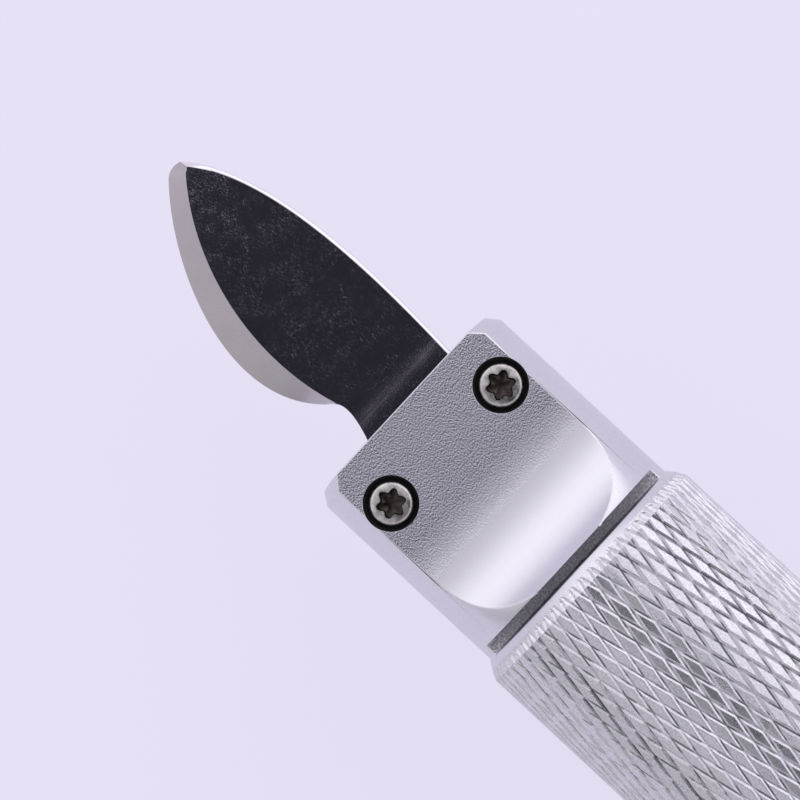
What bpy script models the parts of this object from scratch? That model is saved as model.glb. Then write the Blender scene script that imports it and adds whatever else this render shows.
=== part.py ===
"""Hobby craft knife with a clamped leaf blade and a knurled storage handle.

The knife lies along X with the blade tip at +X, its cutting edge towards +Y and the
screw side of the head upwards. Lengths are written in millimetres and turned into
metres by MM. "Behind" a length means measured from the front face of the head towards
the tail, so x = FRONT_X - behind.
"""
import math

import bmesh
import bpy

MM = 0.001

# Driving dimensions, in millimetres
GRIP_R = 8.0                # knurled grip
HEAD_R = 7.32               # turned head that holds the blade
HEAD_LEN = 13.45            # head, up to the rear wall of its relief groove
COLLAR_R = 7.4              # collar beside the relief groove
COLLAR_LAND = 0.15
COLLAR_END = 14.4           # where the collar's chamfer reaches the grip's full radius
GRIP_END = 69.0             # rear face of the grip, behind the head's front face
TAIL_CHAMFER = 0.8
NOSE_CHAMFER_LEN = 0.74
NOSE_R = 6.8                # radius of the head's front face
BLADE_REACH = 19.2          # blade tip in front of the head
CLEAR = 2.0                 # how far a cutter runs past the metal it cuts

FLAT_Z = 4.1                # screw flat above the axis
RAMP_START = 8.0            # where the flat starts to rise into the concave ramp
RAMP_R = 5.4
CUT_END = 12.95             # ramps are cut this far back, into the relief groove
GROOVE_START = 12.75
GROOVE_FLOOR = 2.65
BACK_FRONT_Z = 3.4          # rear facet below the axis at the front face
BACK_SLOPE = math.radians(10)
BACK_RAMP_START = 8.6
BACK_RAMP_R = 8.8
SLIT_HALF = 0.6
REST_DEPTH = 0.07           # narrow flat under the grip that the knife rests on
REST_HALF = 3.0

SCREW_BEHIND = 3.37
SCREW_Y = 4.53
CBORE_R = 1.6
CBORE_FLOOR = 2.6
SCREW_HOLE_R = 0.95
SCREW_HOLE_END = -3.35
SHANK_R = 0.8
SHANK_END = -3.0
SHANK_CHAMFER = 0.3
HEAD_SCREW_R = 1.26
HEAD_SCREW_TOP = 3.9
HEAD_SCREW_EDGE = 0.28      # rounding of the screw head's rim
TORX_R = 0.62
TORX_LOBE = 0.11            # lobes stand this far out of the recess's mean radius
TORX_DEPTH = 0.65
WASHER_R = 1.48
WASHER_HOLE_R = 0.95
WASHER_T = 0.25
SEAT_GAP = 0.06

BLADE_T = 1.0
EDGE_LAND = 0.08            # thickness left at the cutting edge
TANG_HALF = 3.3
TANG_LEN = 9.5
TANG_CORNER = 0.8
SHOULDER = 1.2              # blade's full width runs this far into the slit

BORE_R = 5.6
BORE_START = 17.0
THREAD_BORE_R = 6.0
THREAD_LEN = 8.0
CAP_R = 6.8
CAP_LEN = 12.5
CAP_GAP = 0.3
CAP_CHAMFER = 0.7
CAP_EDGE = 0.25             # edge break beside the grip
SPIGOT_R = 5.7
SPIGOT_LEN = 7.4
SPIGOT_CHAMFER = 0.4
O_RING_R = 0.5
O_RING_BEHIND = 1.4         # ring's centre in front of the grip's rear face
O_RING_GROOVE_R = 4.6
O_RING_GROOVE_HALF = 0.65
O_RING_LIFT = 0.1           # ring's inside above the groove's floor
PEG_HOLE_R = 3.2
PEG_R = 3.0
PEG_LEN = 5.0
HOLDER_R = 5.2
HOLDER_LEN = 8.0
HOLDER_CHAMFER = 0.4
SPARE_PITCH = 1.8
SPARE_GAP = 0.15
SPARE_Y = -0.25             # spares stand off centre, clear of the bore
SPARE_SEAT = 0.8            # slot's floor to the end of the holder
SLOT_FLOOR = 0.5
KEY_R = 0.75
KEY_HOLE_GAP = 0.2
KEY_HOLE_LEN = 6.0
KEY_SEAT = 5.5
KEY_Z = 3.75
KEY_BEND_R = 1.8
KEY_LONG = 31.0
KEY_SHORT = 6.6

HANDLE_LEN = GRIP_END + CAP_GAP + CAP_LEN
FRONT_X = (BLADE_REACH + HANDLE_LEN) / 2 - BLADE_REACH
AXIS_Z = GRIP_R - REST_DEPTH
TURN_STEPS = 48
SMALL_STEPS = 32
MERGE = 0.00001             # metres

# Blade outline in (ahead of the head's front face, y): cubic curves with two handles
SPINE = [(0.0, -4.0), (8.3, -4.65), (15.5, -4.35), (19.1, -1.45)]
TIP = [(19.1, -1.45), (19.28, -1.1), (19.2, -0.6), (18.95, -0.3)]
EDGE = [(18.95, -0.3), (15.2, 3.6), (7.2, 7.2), (3.1, 2.78)]
GRIND = [(18.35, -1.35), (14.6, 2.3), (8.6, 4.1), (3.01, 2.62)]
CHOIL = [(3.1, 2.78), (2.6, 2.25), (1.7, 2.35), (0.0, 3.0)]

MATERIALS = {
    "satin_aluminium": ((0.72, 0.71, 0.74), 0.35, 1.0),
    "blade_steel": ((0.55, 0.55, 0.56), 0.15, 1.0),
    "screw_steel": ((0.42, 0.40, 0.38), 0.28, 1.0),
    "black_steel": ((0.03, 0.03, 0.03), 0.4, 1.0),
    "black_rubber": ((0.02, 0.02, 0.02), 0.7, 0.0),
    "holder_plastic": ((0.06, 0.06, 0.07), 0.5, 0.0),
    "key_steel": ((0.12, 0.12, 0.13), 0.35, 1.0),
}


def clear_scene():
    """Remove every object of the scene."""
    for obj in list(bpy.data.objects):
        bpy.data.objects.remove(obj, do_unlink=True)


def make_collection(name):
    """Return a new collection linked to the scene."""
    collection = bpy.data.collections.new(name)
    bpy.context.scene.collection.children.link(collection)
    return collection


def make_material(name):
    """Return the Principled material called name, made on its first use."""
    found = bpy.data.materials.get(name)
    if found:
        return found
    color, roughness, metallic = MATERIALS[name]
    material = bpy.data.materials.new(name)
    material.use_nodes = True
    shader = material.node_tree.nodes["Principled BSDF"]
    shader.inputs["Base Color"].default_value = (*color, 1.0)
    shader.inputs["Roughness"].default_value = roughness
    shader.inputs["Metallic"].default_value = metallic
    return material


def place(obj, collection, material=None):
    """Link obj to a collection and give it its material."""
    collection.objects.link(obj)
    if material:
        obj.data.materials.append(make_material(material))
    return obj


def object_from(bm, name, collection, material=None):
    """Turn a bmesh into an object of the collection."""
    mesh = bpy.data.meshes.new(name)
    bm.to_mesh(mesh)
    bm.free()
    return place(bpy.data.objects.new(name, mesh), collection, material)


def world_x(behind):
    """World x, in metres, of a place behind the head's front face."""
    return (FRONT_X - behind) * MM


def turned(name, profile, collection, material=None, steps=TURN_STEPS):
    """Turn a profile of (radius, height) points about local Z, heights falling."""
    bm = bmesh.new()
    verts = [bm.verts.new((radius * MM, 0, height * MM)) for radius, height in profile]
    for start, end in zip(verts, verts[1:]):
        bm.edges.new((start, end))
    obj = object_from(bm, name, collection, material)
    screw = obj.modifiers.new("turn", "SCREW")
    screw.steps = steps
    screw.render_steps = steps
    screw.use_merge_vertices = True
    screw.merge_threshold = MERGE
    return obj


def along_x(obj):
    """Lay a turned object along X, its local height zero at the head's front face."""
    obj.rotation_euler = (0, math.radians(90), 0)
    obj.location = (world_x(0), 0, AXIS_Z * MM)
    return obj


def closed(profile):
    """Return the profile with its first point repeated at the end."""
    return profile + profile[:1]


def cut(target, cutter):
    """Cut a cutter out of target."""
    boolean = target.modifiers.new(cutter.name, "BOOLEAN")
    boolean.operation = "DIFFERENCE"
    boolean.solver = "EXACT"
    boolean.object = cutter


def as_cutter(obj):
    """Mark an object as a cutter, which isn't part of the knife."""
    obj.hide_render = True
    obj.display_type = "WIRE"
    return obj


def box_cutter(name, low, high, cutters):
    """Make a box from its corners (behind, y, z above the axis), in millimetres."""
    size = [abs(b - a) for a, b in zip(low, high)]
    centre = [(a + b) / 2 for a, b in zip(low, high)]
    bm = bmesh.new()
    bmesh.ops.create_cube(bm, size=1.0)
    bmesh.ops.scale(bm, vec=[value * MM for value in size], verts=bm.verts)
    obj = object_from(bm, name, cutters)
    obj.location = (world_x(centre[0]), centre[1] * MM, (AXIS_Z + centre[2]) * MM)
    return as_cutter(obj)


def bezier(points, count):
    """Return count + 1 points along a cubic curve given by two ends and two handles."""
    result = []
    for i in range(count + 1):
        t = i / count
        weights = ((1 - t) ** 3, 3 * t * (1 - t) ** 2, 3 * t * t * (1 - t), t ** 3)
        result.append([sum(w * p[k] for w, p in zip(weights, points)) for k in (0, 1)])
    return result


def ramp_side(start, height, slope, radius, end, steps=10):
    """Return (behind, height) points along an arc that leaves a slope and steepens."""
    last = math.asin(min(1.0, math.sin(slope) + (end - start) / radius))
    points = []
    for i in range(steps + 1):
        angle = slope + (last - slope) * i / steps
        behind = start + radius * (math.sin(angle) - math.sin(slope))
        points.append((behind, height + radius * (math.cos(slope) - math.cos(angle))))
    return points


def side_cutter(name, outline, sign, cutters):
    """Extrude an outline of (behind, height) across the head, above or below the axis."""
    half_width = (HEAD_R + CLEAR) * MM
    bm = bmesh.new()
    verts = []
    for behind, height in outline:
        verts.append(bm.verts.new((-behind * MM, -half_width, sign * height * MM)))
    face = bm.faces.new(verts)
    grown = bmesh.ops.extrude_face_region(bm, geom=[face])["geom"]
    moved = [item for item in grown if isinstance(item, bmesh.types.BMVert)]
    bmesh.ops.translate(bm, vec=(0, 2 * half_width, 0), verts=moved)
    bmesh.ops.recalc_face_normals(bm, faces=bm.faces)
    obj = object_from(bm, name, cutters)
    obj.location = (world_x(0), 0, AXIS_Z * MM)
    return as_cutter(obj)


def upright(name, profile, y, collection, material=None):
    """Turn a profile about a vertical line through one of the screw places."""
    obj = turned(name, profile, collection, material, SMALL_STEPS)
    obj.location = (world_x(SCREW_BEHIND), y * MM, AXIS_Z * MM)
    return obj


def make_handle(parts, cutters):
    """Turn head and grip from one bar, then mill, saw, drill and bore it."""
    thread_start = GRIP_END - THREAD_LEN
    profile = [
        (0, 0), (NOSE_R, 0), (HEAD_R, -NOSE_CHAMFER_LEN), (HEAD_R, -HEAD_LEN),
        (COLLAR_R, -HEAD_LEN - COLLAR_LAND), (GRIP_R, -COLLAR_END),
        (GRIP_R, TAIL_CHAMFER - GRIP_END), (GRIP_R - TAIL_CHAMFER, -GRIP_END),
        (THREAD_BORE_R, -GRIP_END), (THREAD_BORE_R, -thread_start),
        (BORE_R, -thread_start), (BORE_R, -BORE_START), (0, -BORE_START),
    ]
    handle = along_x(turned("handle_body", profile, parts, "satin_aluminium"))

    outside = HEAD_R + CLEAR
    top = [(-CLEAR, FLAT_Z)] + ramp_side(RAMP_START, FLAT_Z, 0, RAMP_R, CUT_END)
    top += [(CUT_END, outside), (-CLEAR, outside)]
    cut(handle, side_cutter("cut_screw_flat", top, 1, cutters))

    slope = math.tan(BACK_SLOPE)
    ramp_height = BACK_FRONT_Z + slope * BACK_RAMP_START
    rear = [(-CLEAR, BACK_FRONT_Z - CLEAR * slope)]
    rear += ramp_side(BACK_RAMP_START, ramp_height, BACK_SLOPE, BACK_RAMP_R, CUT_END)
    rear += [(CUT_END, outside), (-CLEAR, outside)]
    cut(handle, side_cutter("cut_rear_facet", rear, -1, cutters))

    for name, low, high in (("cut_groove_top", GROOVE_FLOOR, outside),
                            ("cut_groove_rear", -outside, -GROOVE_FLOOR)):
        cut(handle, box_cutter(name, (GROOVE_START, -outside, low),
                               (HEAD_LEN, outside, high), cutters))
    cut(handle, box_cutter("cut_slit", (-CLEAR, -outside, -SLIT_HALF),
                           (HEAD_LEN, outside, SLIT_HALF), cutters))
    cut(handle, box_cutter("cut_rest", (HEAD_LEN, -REST_HALF, -GRIP_R - CLEAR),
                           (GRIP_END + CLEAR, REST_HALF, -AXIS_Z), cutters))

    hole = [
        (0, FLAT_Z + CLEAR), (CBORE_R, FLAT_Z + CLEAR), (CBORE_R, CBORE_FLOOR),
        (SCREW_HOLE_R, CBORE_FLOOR), (SCREW_HOLE_R, SCREW_HOLE_END), (0, SCREW_HOLE_END),
    ]
    for side, y in (("left", SCREW_Y), ("right", -SCREW_Y)):
        cut(handle, as_cutter(upright("cut_screw_" + side, hole, y, cutters)))
    return handle


def torx_cutter(name, y, cutters):
    """Make the six-lobed recess of a screw head as a cutter."""
    bm = bmesh.new()
    bmesh.ops.create_circle(bm, cap_ends=True, segments=36, radius=1.0)
    for vert in bm.verts:
        angle = math.atan2(vert.co.y, vert.co.x)
        radius = (TORX_R + TORX_LOBE * math.cos(6 * angle)) * MM
        vert.co = (radius * math.cos(angle), radius * math.sin(angle), 0)
    grown = bmesh.ops.extrude_face_region(bm, geom=list(bm.faces))["geom"]
    moved = [item for item in grown if isinstance(item, bmesh.types.BMVert)]
    bmesh.ops.translate(bm, vec=(0, 0, 2 * TORX_DEPTH * MM), verts=moved)
    bmesh.ops.recalc_face_normals(bm, faces=bm.faces)
    obj = object_from(bm, name, cutters)
    obj.location = (world_x(SCREW_BEHIND), y * MM, (AXIS_Z + HEAD_SCREW_TOP - TORX_DEPTH) * MM)
    return as_cutter(obj)


def make_screws(parts, cutters):
    """Make both clamping screws and the washers under their heads."""
    washer_top = CBORE_FLOOR + SEAT_GAP + WASHER_T
    under_head = washer_top + SEAT_GAP
    edge = HEAD_SCREW_EDGE
    screw_profile = [
        (0, HEAD_SCREW_TOP), (HEAD_SCREW_R - 2 * edge, HEAD_SCREW_TOP),
        (HEAD_SCREW_R - edge / 2, HEAD_SCREW_TOP - edge / 3),
        (HEAD_SCREW_R, HEAD_SCREW_TOP - edge), (HEAD_SCREW_R, under_head),
        (SHANK_R, under_head), (SHANK_R, SHANK_END + SHANK_CHAMFER),
        (SHANK_R - SHANK_CHAMFER, SHANK_END), (0, SHANK_END),
    ]
    washer_profile = closed([
        (WASHER_HOLE_R, washer_top), (WASHER_R, washer_top),
        (WASHER_R, washer_top - WASHER_T), (WASHER_HOLE_R, washer_top - WASHER_T),
    ])
    for side, y in (("left", SCREW_Y), ("right", -SCREW_Y)):
        screw = upright("clamp_screw_" + side, screw_profile, y, parts, "screw_steel")
        cut(screw, torx_cutter("cut_torx_" + side, y, cutters))
        upright("washer_" + side, washer_profile, y, parts, "black_steel")


def blade_outline(count=12):
    """Return the lower outline and the upper one, which is drawn in along the grind."""
    corner = TANG_CORNER
    tang = [(0.0, TANG_HALF), (corner - TANG_LEN, TANG_HALF), (-TANG_LEN, TANG_HALF - corner),
            (-TANG_LEN, corner - TANG_HALF), (corner - TANG_LEN, -TANG_HALF),
            (-SHOULDER, -TANG_HALF), (-SHOULDER, SPINE[0][1])]
    spine = bezier(SPINE, count)
    tip = bezier(TIP, 4)
    edge = bezier(EDGE, count)
    choil = bezier(CHOIL, 5)
    low = spine + tip[1:] + edge[1:] + choil[1:] + tang
    tip_grind = bezier([TIP[0], TIP[0], GRIND[0], GRIND[0]], 4)
    high = spine + tip_grind[1:] + bezier(GRIND, count)[1:] + choil[1:] + tang
    return low, high


def blade_mesh(name):
    """Model a blade about its own mid-plane, x measured from the head's front face."""
    low, high = blade_outline()
    bm = bmesh.new()
    bottom = -BLADE_T / 2
    verts = [bm.verts.new((x * MM, y * MM, bottom * MM)) for x, y in low]
    base = bm.faces.new(verts)
    face = base
    heights = (bottom + EDGE_LAND, BLADE_T / 2)
    for height, outline in zip(heights, (low, high)):
        grown = bmesh.ops.extrude_face_region(bm, geom=[face])["geom"]
        if face.is_valid and face is not base:
            bmesh.ops.delete(bm, geom=[face], context="FACES_ONLY")
        face = next(item for item in grown if isinstance(item, bmesh.types.BMFace))
        ring = [item for item in grown if isinstance(item, bmesh.types.BMVert)]
        for vert in ring:
            index = min(range(len(low)), key=lambda i: (low[i][0] * MM - vert.co.x) ** 2
                        + (low[i][1] * MM - vert.co.y) ** 2)
            vert.co = (outline[index][0] * MM, outline[index][1] * MM, height * MM)
    bmesh.ops.recalc_face_normals(bm, faces=bm.faces)
    mesh = bpy.data.meshes.new(name)
    bm.to_mesh(mesh)
    bm.free()
    mesh.materials.append(make_material("blade_steel"))
    return mesh


def make_blades(parts):
    """Place the clamped blade and the three spares in their holder."""
    mesh = blade_mesh("leaf_blade")
    blade = place(bpy.data.objects.new("blade", mesh), parts)
    blade.location = (world_x(0), 0, AXIS_Z * MM)
    tang_end = GRIP_END - SPIGOT_LEN - CAP_GAP
    for number in (1, 2, 3):
        spare = place(bpy.data.objects.new(f"spare_blade_{number}", mesh), parts)
        height = (2 - number) * SPARE_PITCH
        spare.location = (world_x(tang_end - TANG_LEN - SPARE_SEAT), SPARE_Y * MM,
                          (AXIS_Z + height) * MM)


def make_cap(parts):
    """Turn the tail cap with its threaded spigot, and its seal."""
    groove_low = GRIP_END - O_RING_BEHIND - O_RING_GROOVE_HALF
    groove_high = GRIP_END - O_RING_BEHIND + O_RING_GROOVE_HALF
    spigot_front = GRIP_END - SPIGOT_LEN
    peg_floor = -spigot_front - PEG_LEN - CAP_GAP
    shoulder = GRIP_END + CAP_GAP
    end = shoulder + CAP_LEN
    profile = [
        (0, peg_floor), (PEG_HOLE_R, peg_floor), (PEG_HOLE_R, -spigot_front),
        (SPIGOT_R - SPIGOT_CHAMFER, -spigot_front), (SPIGOT_R, -spigot_front - SPIGOT_CHAMFER),
        (SPIGOT_R, -groove_low), (O_RING_GROOVE_R, -groove_low),
        (O_RING_GROOVE_R, -groove_high), (SPIGOT_R, -groove_high), (SPIGOT_R, -shoulder),
        (CAP_R - CAP_EDGE, -shoulder), (CAP_R, -shoulder - CAP_EDGE),
        (CAP_R, CAP_CHAMFER - end), (CAP_R - CAP_CHAMFER, -end), (0, -end),
    ]
    along_x(turned("tail_cap", profile, parts, "satin_aluminium"))

    bpy.ops.mesh.primitive_torus_add(
        major_segments=TURN_STEPS, minor_segments=10,
        major_radius=(O_RING_GROOVE_R + O_RING_LIFT + O_RING_R) * MM, minor_radius=O_RING_R * MM,
        location=(world_x(GRIP_END - O_RING_BEHIND), 0, AXIS_Z * MM),
        rotation=(0, math.radians(90), 0))
    ring = bpy.context.active_object
    for owner in list(ring.users_collection):
        owner.objects.unlink(ring)
    ring.name = "seal_ring"
    place(ring, parts, "black_rubber")


def make_holder(parts, cutters):
    """Turn the spare-blade holder and cut its three tang slots and its key hole."""
    front = GRIP_END - SPIGOT_LEN - CAP_GAP - HOLDER_LEN
    back = front + HOLDER_LEN
    profile = [
        (0, -front), (HOLDER_R - HOLDER_CHAMFER, -front),
        (HOLDER_R, -front - HOLDER_CHAMFER), (HOLDER_R, -back),
        (PEG_R, -back), (PEG_R, -back - PEG_LEN), (0, -back - PEG_LEN),
    ]
    holder = along_x(turned("spare_holder", profile, parts, "holder_plastic", SMALL_STEPS))
    half_width = TANG_HALF + SPARE_GAP
    for number in (1, 2, 3):
        middle = (2 - number) * SPARE_PITCH
        low = middle - BLADE_T / 2 - SPARE_GAP
        high = middle + BLADE_T / 2 + SPARE_GAP
        name = f"cut_slot_{number}"
        cut(holder, box_cutter(name, (front - CLEAR, SPARE_Y - half_width, low),
                               (back - SLOT_FLOOR, SPARE_Y + half_width, high), cutters))
    hole_r = KEY_R + KEY_HOLE_GAP
    hole_end = -front - KEY_HOLE_LEN
    hole = [(0, CLEAR - front), (hole_r, CLEAR - front), (hole_r, hole_end), (0, hole_end)]
    key_hole = as_cutter(along_x(turned("cut_key_hole", hole, cutters, None, SMALL_STEPS)))
    key_hole.location.z = (AXIS_Z + KEY_Z) * MM
    cut(holder, key_hole)


def make_key(parts):
    """Bend the screw key from round bar: a long arm, a bend and a short arm."""
    back = GRIP_END - SPIGOT_LEN - CAP_GAP - HOLDER_LEN + KEY_SEAT
    curve = bpy.data.curves.new("torx_key", "CURVE")
    curve.dimensions = "3D"
    curve.bevel_depth = KEY_R * MM
    curve.bevel_resolution = 3
    curve.use_fill_caps = True
    path = [(-back, KEY_Z)]
    bend_x = KEY_LONG - back - KEY_BEND_R
    for i in range(9):
        angle = math.radians(90 - 90 * i / 8)
        path.append((bend_x + KEY_BEND_R * math.cos(angle),
                     KEY_Z - KEY_BEND_R + KEY_BEND_R * math.sin(angle)))
    path.append((bend_x + KEY_BEND_R, KEY_Z - KEY_SHORT))
    spline = curve.splines.new("POLY")
    spline.points.add(len(path) - 1)
    for point, (x, z) in zip(spline.points, path):
        point.co = (x * MM, 0, z * MM, 1)
    key = place(bpy.data.objects.new("torx_key", curve), parts, "key_steel")
    key.location = (world_x(0), 0, AXIS_Z * MM)
    weld = key.modifiers.new("weld", "WELD")
    weld.merge_threshold = MERGE


def shade_round(parts):
    """Shade every round piece smooth, keeping its edges sharp."""
    for obj in parts.objects:
        if obj.type == "MESH":
            obj.data.shade_smooth()
            obj.data.set_sharp_from_angle(angle=math.radians(30))


def main():
    """Build the whole knife."""
    clear_scene()
    parts = make_collection("hobby_craft_knife")
    cutters = make_collection("cutters")
    make_handle(parts, cutters)
    make_screws(parts, cutters)
    make_blades(parts)
    make_cap(parts)
    make_holder(parts, cutters)
    make_key(parts)
    shade_round(parts)


main()
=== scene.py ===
"""Hobby craft knife: turned and milled head, knurled grip, leaf blade, screws and tail cap.

Pieces are modelled in millimetres in the knife's own frame: x ahead of the head's front
face, y towards the cutting edge, z above the knife's axis. "Behind" is the distance back
from the front face. Each piece is put in its place in the shared frame when it is made.
"""
import math

import bmesh
import bpy
from bpy.props import FloatProperty, FloatVectorProperty, IntProperty, PointerProperty
from mathutils import Matrix, Vector
from mathutils.geometry import interpolate_bezier


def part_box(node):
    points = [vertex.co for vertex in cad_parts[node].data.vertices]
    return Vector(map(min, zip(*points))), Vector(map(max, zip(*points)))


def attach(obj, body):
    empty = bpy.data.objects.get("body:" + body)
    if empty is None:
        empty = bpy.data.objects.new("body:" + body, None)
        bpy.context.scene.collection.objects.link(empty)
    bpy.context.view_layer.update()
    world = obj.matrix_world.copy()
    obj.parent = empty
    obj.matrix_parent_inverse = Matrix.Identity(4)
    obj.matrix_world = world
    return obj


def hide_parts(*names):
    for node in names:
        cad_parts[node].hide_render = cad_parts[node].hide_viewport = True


bl_info = {
    "name": "Hobby craft knife",
    "version": (1, 0, 0),
    "blender": (4, 5, 0),
    "location": "View3D > Sidebar > Craft knife",
    "description": "Models a clamped-blade craft knife, its finishes and its studio stage",
    "category": "Add Mesh",
}

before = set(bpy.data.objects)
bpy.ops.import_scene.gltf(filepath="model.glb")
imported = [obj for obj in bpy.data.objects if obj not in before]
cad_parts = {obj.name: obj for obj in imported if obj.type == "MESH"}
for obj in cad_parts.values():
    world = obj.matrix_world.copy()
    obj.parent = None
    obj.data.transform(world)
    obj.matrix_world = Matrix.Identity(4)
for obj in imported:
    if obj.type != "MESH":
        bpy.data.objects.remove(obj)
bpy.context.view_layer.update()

MM = 0.001
FRONT_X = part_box("handle_body")[1].x
AXIS_Z = (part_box("tail_cap")[0].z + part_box("tail_cap")[1].z) / 2
IN_PLACE = Matrix.Translation((FRONT_X, 0, AXIS_Z)) @ Matrix.Scale(MM, 4)
MERGE = 0.002
CARVE_MERGE = 0.02
COPLANAR = math.radians(0.4)
SHARP_TURN = math.radians(28)

# Head
GRIP_R = 8.0
HEAD_R = 7.32
HEAD_LEN = 13.45
NOSE_R = 6.8
NOSE_CHAMFER = 0.74
FLAT_Z = 4.1
RAMP_START = 8.0
RAMP_R = 5.4
CUT_END = 12.95
GROOVE_START = 12.75
GROOVE_FLOOR = 2.65
BACK_FRONT_Z = 3.4
BACK_SLOPE = math.radians(10)
BACK_RAMP_START = 8.6
BACK_RAMP_R = 8.8
SLIT_HALF = 0.6
COLLAR_R = 7.4
COLLAR_START = 13.52
KNURL_START = 13.86
KNURL_START_R = 7.66
COLLAR_END = 14.5
CLEAR = 2.0
RIM_SHARE = 0.3
KNURL_FADE_MIDDLE = 0.12
KNURL_FADE_IN = 0.26
KNURL_FADE_OUT = 0.15
PAD_FLANK_SHARE = 0.8
PAD_DEPTH_SHARE = 0.93

# Grip and tail
GRIP_END = 69.0
TAIL_CHAMFER = 0.8
KNURL_END = 68.5
CORE_R = 7.3
BORE_R = 5.6
BORE_START = 17.0
THREAD_BORE_R = 6.0
THREAD_LEN = 8.0
CAP_R = 6.8
CAP_LEN = 12.5
CAP_GAP = 0.3
SPIGOT_R = 5.7
SPIGOT_ROOT_R = 5.3
SPIGOT_LEN = 7.4
SPIGOT_PITCH = 1.0
RING_GROOVE_R = 4.6
RING_GROOVE_HALF = 0.65
RING_BEHIND = 1.4
PEG_HOLE_R = 3.2
PEG_LEN = 5.3
CAP_CHAMFER = 0.75
CAP_EDGE = 0.25
CAP_EDGE_DROP = 0.08
DISH_R = 5.0
DISH_DEPTH = 0.06

# Screws
SCREW_BEHIND = 3.37
SCREW_Y = 4.53
CBORE_R = 1.6
CBORE_FLOOR = 2.6
SCREW_HOLE_R = 0.95
SCREW_HOLE_END = -3.35
SHANK_R = 0.8
SHANK_ROOT_R = 0.62
SHANK_END = -3.0
THREAD_PITCH = 0.35
HEAD_SCREW_R = 1.28
HEAD_SCREW_TOP = 3.9
UNDER_HEAD = 2.97
SOCKET_R = 0.72
SOCKET_LOBE = 0.13
SOCKET_DEPTH = 0.65
HEAD_RINGS = [(1.05, 0.01), (1.13, 0.03), (1.19, 0.06), (1.24, 0.11), (1.27, 0.18),
              (HEAD_SCREW_R, 0.26)]

# Blade
BLADE_HALF = 0.5
EDGE_LAND = 0.08
TANG_HALF = 3.3
TANG_LEN = 9.5
TANG_CORNER = 0.8
SHOULDER = 1.2
SPINE = [(0.0, -4.0), (8.3, -4.65), (15.5, -4.35), (19.1, -1.45)]
SPINE_TOP = [(0.0, -3.75), (8.25, -4.38), (15.2, -4.05), (18.5, -1.52)]
TIP = [(19.1, -1.45), (19.28, -1.1), (19.2, -0.6), (18.95, -0.3)]
TIP_TOP = [(18.5, -1.52), (18.44, -1.44), (18.36, -1.38), (18.3, -1.2)]
EDGE = [(18.95, -0.3), (15.2, 3.6), (7.2, 7.2), (3.1, 2.78)]
GRIND = [(18.3, -1.2), (14.6, 2.3), (8.6, 4.1), (3.01, 2.62)]
CHOIL = [(3.1, 2.78), (2.6, 2.25), (1.7, 2.35), (0.0, 3.0)]
SPINE_STEPS = 36
TIP_STEPS = 10
EDGE_STEPS = 48
CHOIL_STEPS = 12
ROUND_STEPS = 6
GROUND_FROM = 32
GROUND_BLEND = 6
SPARES = ("spare_blade_1", "spare_blade_2", "spare_blade_3")

# Finishes: the fade and the bright band are behind the ramp's start, the rubbed band is
# ahead of the front face, and the shift of the grain's painted light and shade is in metres
BLAST_SCALE = 9800
PAINTED_LIGHT_SHIFT = (0.00005, -0.00001, 0)
BLAST_FADE = (0.3, -2.2)
BRIGHT_BAND = (1.9, 0.3, 0.0, -2.0)
RUBBED_BAND = (0.45, 1.1, 2.1)
# Length over which the painted shade in the knurl grooves gives way on the collar and the tail
# chamfer
KNURL_SHADE_FADE = 0.1
SCRATCHES = ((25, 15000), (-40, 17000), (80, 16000), (32, 21000))
# Dark steel for the screw sockets: painted shade in the recess
SOCKET_SHADE = (0.085, 0.07, 0.065)
BLACK_OXIDE = (0.02, 0.02, 0.02)
SEAL_RUBBER = (0.015, 0.015, 0.015)
HOLDER_PLASTIC = (0.045, 0.045, 0.05)
KEY_OXIDE = (0.06, 0.06, 0.065)

# Camera, in the knife's own frame
CAMERA = Vector((-10.4276, -3.2751, 208.177))
CAMERA_AIM = Vector((0.423, -0.011, 0.0))
CAMERA_ROLL = math.radians(42.85)
CAMERA_LENS = 163.79
CAMERA_SENSOR = 36.0

# Light tent: pale cloth all round, brighter on the spine side, with a dark oval gap on top
TENT_GAP_PLACE = (0.48, 0.0, 0.0)
TENT_GAP_SCALE = (3.4, 4.4, 0.0)
TENT_GAP_FADE = 1.38
TENT_CLOTH = (0.80, 0.785, 0.83)
TENT_LEAN = (0.25, -0.4, 0.0)
TENT_DARK = (0.028, 0.028, 0.034)
FLOOR_BOUNCE = (0.77, 0.745, 0.85)


# ---------------------------------------------------------------- modelling helpers

def put_in_place(bm, name, material, body, replaced=()):
    """Make an object of a bmesh in millimetres, and hand it to the frame."""
    bmesh.ops.transform(bm, matrix=IN_PLACE, verts=bm.verts)
    mesh = bpy.data.meshes.new(name)
    bm.to_mesh(mesh)
    bm.free()
    obj = bpy.data.objects.new(name, mesh)
    bpy.context.scene.collection.objects.link(obj)
    for item in material if isinstance(material, (list, tuple)) else [material]:
        mesh.materials.append(item)
    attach(obj, body)
    if replaced:
        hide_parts(*replaced)
    return obj


def shade_crisp(obj, degrees=32):
    """Shade smooth over gentle turns and keep the sharp edges sharp."""
    obj.data.shade_smooth()
    obj.data.set_sharp_from_angle(angle=math.radians(degrees))


def even_normals(obj):
    """Let large faces keep their own direction beside narrow rounded edges."""
    modifier = obj.modifiers.new("even normals", "WEIGHTED_NORMAL")
    modifier.keep_sharp = True


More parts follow.
